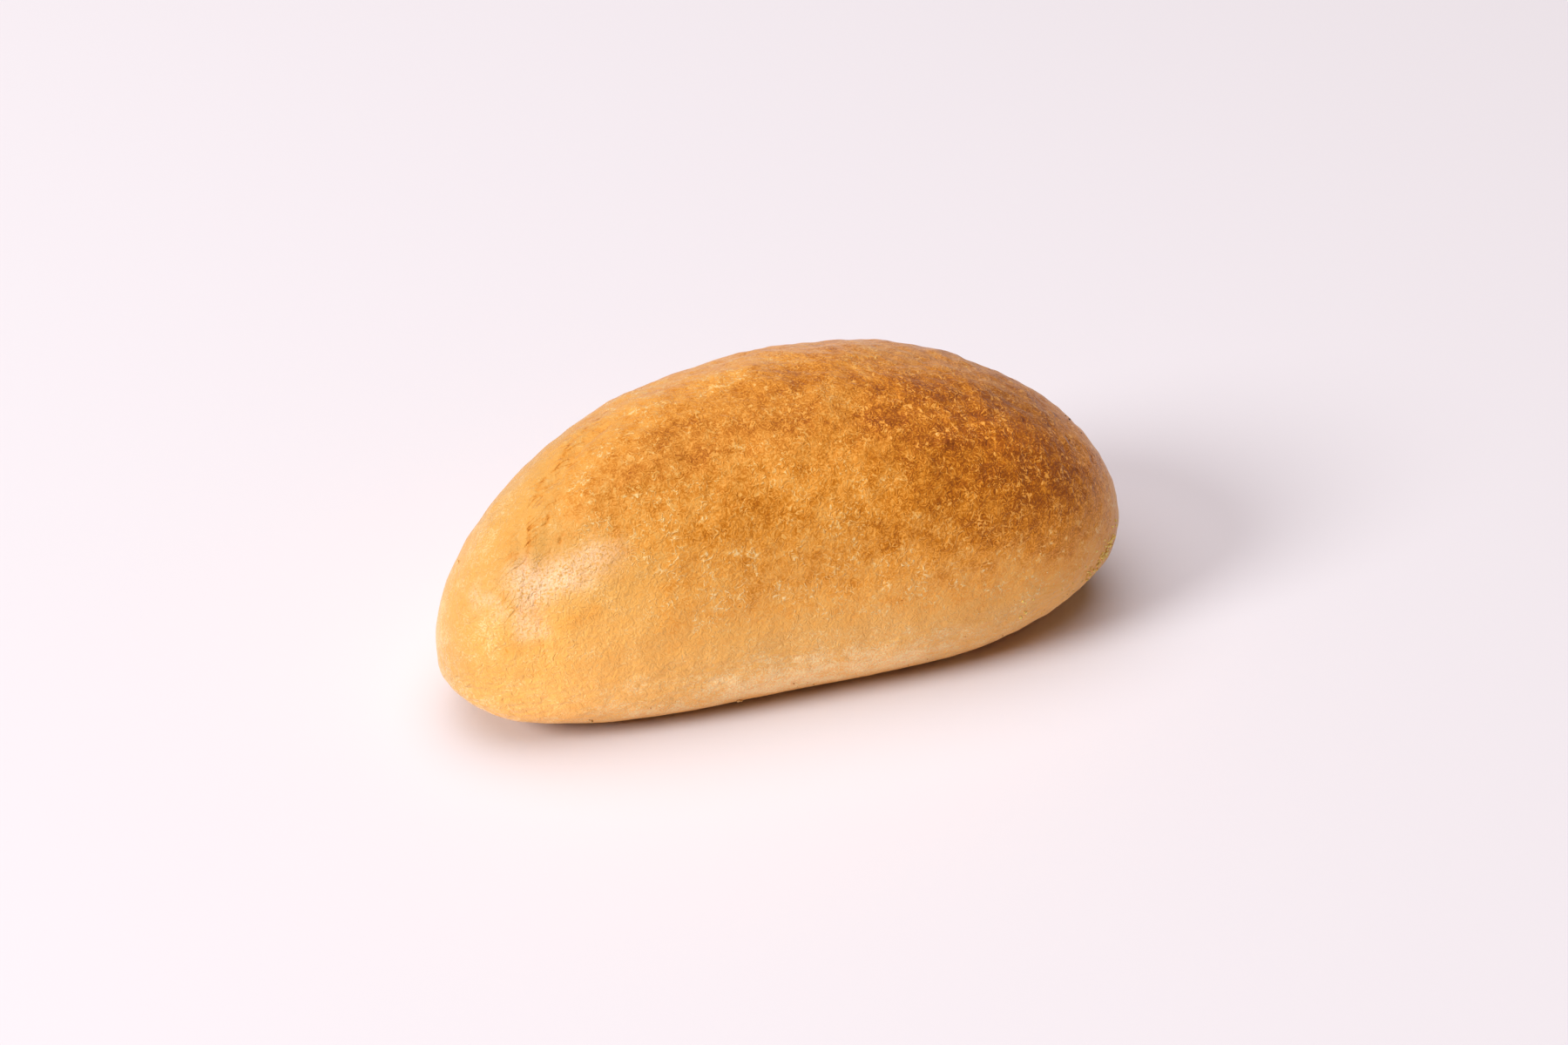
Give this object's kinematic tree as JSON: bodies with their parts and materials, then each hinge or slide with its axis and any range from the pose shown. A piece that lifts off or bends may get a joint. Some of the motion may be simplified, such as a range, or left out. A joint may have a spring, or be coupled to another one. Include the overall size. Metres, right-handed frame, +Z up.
{
  "type": "bread roll",
  "caption": "Soft oblong wheat bread roll with a smooth golden-brown crust, a pale lower side and a tucked fold near its narrower end.",
  "frame": {"origin": "on the flat foot that the roll rests on, under the middle of its bounding box", "axes": "+X along the roll towards its broader end, +Y to the back, +Z up from the foot"},
  "size_m": [0.125, 0.065, 0.0513],
  "materials": {
    "crust": "satin browned bread crust, darkest on the crown and pale along the lower side"
  },
  "bodies": {
    "root": {"bread_roll": "crust"}
  },
  "joints": []
}
